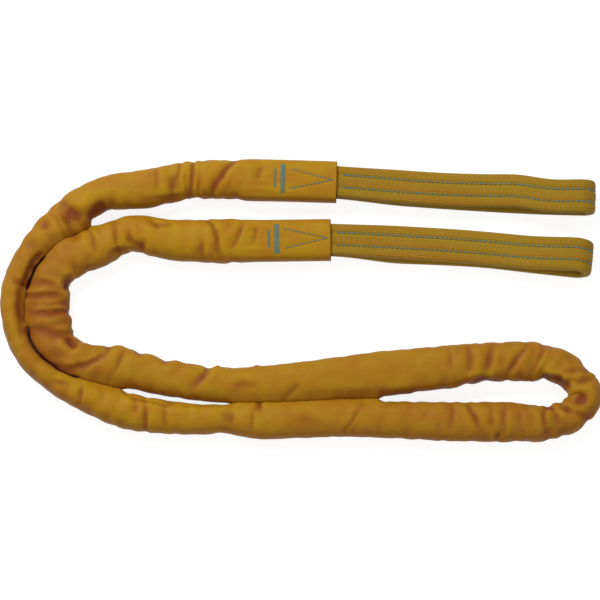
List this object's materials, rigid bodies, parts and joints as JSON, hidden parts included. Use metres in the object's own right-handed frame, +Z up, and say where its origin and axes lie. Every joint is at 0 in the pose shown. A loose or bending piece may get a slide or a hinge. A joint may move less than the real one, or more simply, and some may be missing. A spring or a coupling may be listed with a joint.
{
  "type": "round sling",
  "caption": "Soft lifting sling: an endless yarn hank in a woven cover with a sewn flat-webbing eye at each end, folded double and laid in a C.",
  "frame": {"origin": "on the surface that the sling lies on, under the middle of its laid length and width", "axes": "+X along the longest laid extent, from the outer bend towards the tips of the eyes; +Y towards the upper eye of the picture; +Z up from the surface"},
  "size_m": [0.5041, 0.2402, 0.0269],
  "materials": {
    "cover": "satin woven polyester, ochre yellow, gathered in soft folds",
    "eye_webbing": "flat polyester webbing with lengthwise ribs, ochre yellow, a little duller than the cover",
    "yarn": "off-white polyester yarn in a loose hank",
    "seam_thread": "blue-green polyester sewing thread"
  },
  "bodies": {
    "main": {"body_cover_outer_run": "cover", "body_cover_inner_run": "cover", "yarn_leg_low_outer_run": "yarn", "yarn_leg_high_outer_run": "yarn", "yarn_leg_low_inner_run": "yarn", "yarn_leg_high_inner_run": "yarn", "upper_eye_sleeve_low_tail": "eye_webbing", "upper_eye_sleeve_high_tail": "eye_webbing", "upper_throat_wide_bar_tack_top": "seam_thread", "upper_throat_narrow_bar_tack_top": "seam_thread", "upper_throat_triangle_seam_top": "seam_thread", "upper_throat_wide_bar_tack_bottom": "seam_thread", "upper_throat_narrow_bar_tack_bottom": "seam_thread", "upper_throat_triangle_seam_bottom": "seam_thread", "lower_eye_sleeve_low_tail": "eye_webbing", "lower_eye_sleeve_high_tail": "eye_webbing", "lower_throat_wide_bar_tack_top": "seam_thread", "lower_throat_narrow_bar_tack_top": "seam_thread", "lower_throat_triangle_seam_top": "seam_thread", "lower_throat_wide_bar_tack_bottom": "seam_thread", "lower_throat_narrow_bar_tack_bottom": "seam_thread", "lower_throat_triangle_seam_bottom": "seam_thread"},
    "end_loop": {"body_cover_end_loop": "cover", "yarn_leg_low_end_loop": "yarn", "yarn_leg_high_end_loop": "yarn"},
    "upper_eye": {"upper_eye_sleeve": "eye_webbing", "upper_eye_yarn_loop": "yarn", "upper_eye_seam_left": "seam_thread", "upper_eye_seam_right": "seam_thread"},
    "lower_eye": {"lower_eye_sleeve": "eye_webbing", "lower_eye_yarn_loop": "yarn", "lower_eye_seam_left": "seam_thread", "lower_eye_seam_right": "seam_thread"}
  },
  "joints": [
    {"name": "upper_eye_lift", "type": "hinge", "parent": "main", "child": "upper_eye", "pos_m": [0.0311, 0.1008, 0.0201], "axis": [0, -1, 0], "range_deg": [0, 90]},
    {"name": "lower_eye_lift", "type": "hinge", "parent": "main", "child": "lower_eye", "pos_m": [0.026, 0.0513, 0.0201], "axis": [0, -1, 0], "range_deg": [0, 90]},
    {"name": "end_loop_lift", "type": "hinge", "parent": "main", "child": "end_loop", "pos_m": [0.126, -0.0803, 0.0242], "axis": [0, -1, 0], "range_deg": [0, 75]}
  ]
}
